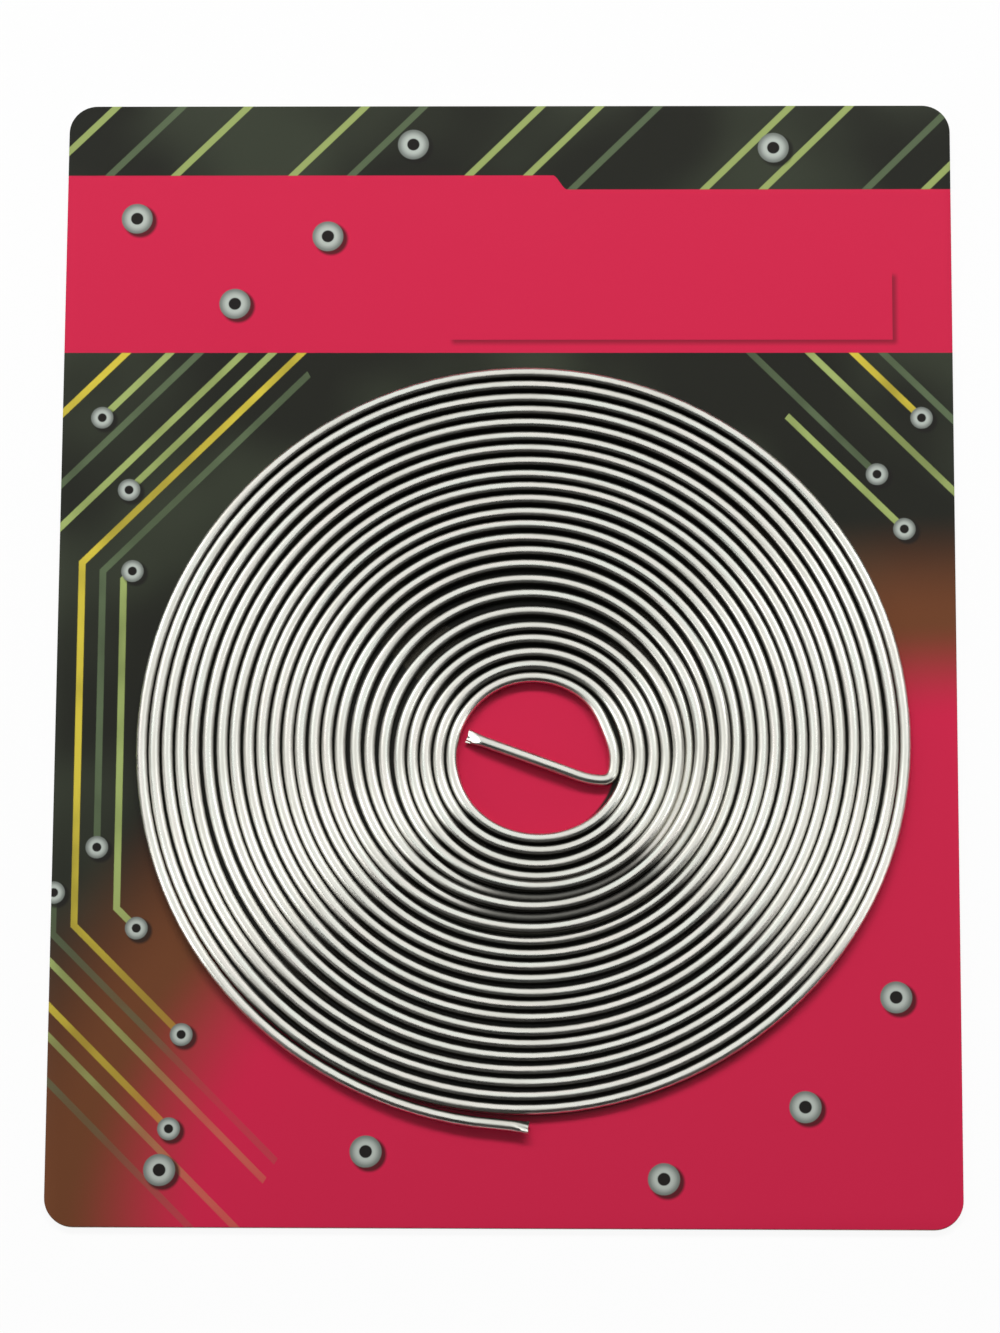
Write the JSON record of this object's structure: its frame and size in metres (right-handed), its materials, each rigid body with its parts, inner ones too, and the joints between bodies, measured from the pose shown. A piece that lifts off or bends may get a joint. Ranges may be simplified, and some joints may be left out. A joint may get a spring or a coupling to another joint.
{
  "type": "carded coil of solder wire",
  "caption": "Flat spiral coil of bare solder wire, taped to the face of a printed card with rounded corners.",
  "frame": {"origin": "middle of the card's back", "axes": "+X to the card's right, +Y to its top edge, +Z out of its printed face"},
  "size_m": [0.12, 0.153, 0.0035],
  "materials": {
    "board": "matt greyboard",
    "print": "gloss-varnished print",
    "tape": "clear adhesive film",
    "solder": "bright drawn tin-lead alloy"
  },
  "bodies": {
    "root": {"backing_card": "board", "printed_face": "print", "tape_strip_upper_right": "tape", "tape_strip_upper_left": "tape", "tape_strip_lower_left": "tape", "tape_strip_lower_right": "tape", "solder_wire": "solder"}
  },
  "joints": []
}
